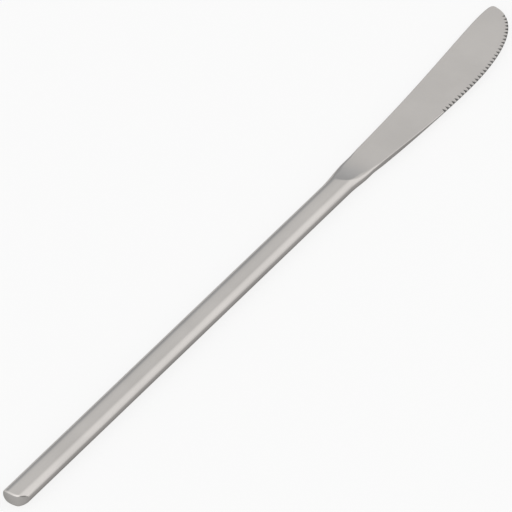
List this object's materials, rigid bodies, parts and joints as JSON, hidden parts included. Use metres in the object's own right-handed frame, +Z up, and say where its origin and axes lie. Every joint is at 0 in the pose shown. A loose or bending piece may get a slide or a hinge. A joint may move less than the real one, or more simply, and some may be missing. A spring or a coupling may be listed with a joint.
{
  "type": "table knife",
  "caption": "Slim all-steel table knife with a long hollow handle, a blunt round butt, a ground shoulder and a full-bellied blade serrated round the front of its edge.",
  "frame": {"origin": "on the resting surface, at the middle of the knife's length and width", "axes": "+X from the butt to the tip, +Y from the cutting edge to the spine, +Z up, out of the serrated face"},
  "size_m": [0.235, 0.0152, 0.0044],
  "materials": {
    "ground_steel": "finely ground, satin",
    "polished_steel": "polished, slightly satin from use",
    "butt_steel": "polished, slightly satin from use",
    "silver_braze": "polished flush with the steel beside it",
    "cast_cement": "matte, cast"
  },
  "bodies": {
    "root": {"blade": "ground_steel", "upper_handle_shell": "polished_steel", "lower_handle_shell": "polished_steel", "butt_plug": "butt_steel", "tang_cement": "cast_cement", "spine_seam_braze": "silver_braze", "edge_seam_braze": "silver_braze", "bolster_braze_ring": "silver_braze", "butt_braze_ring": "silver_braze"}
  },
  "joints": []
}
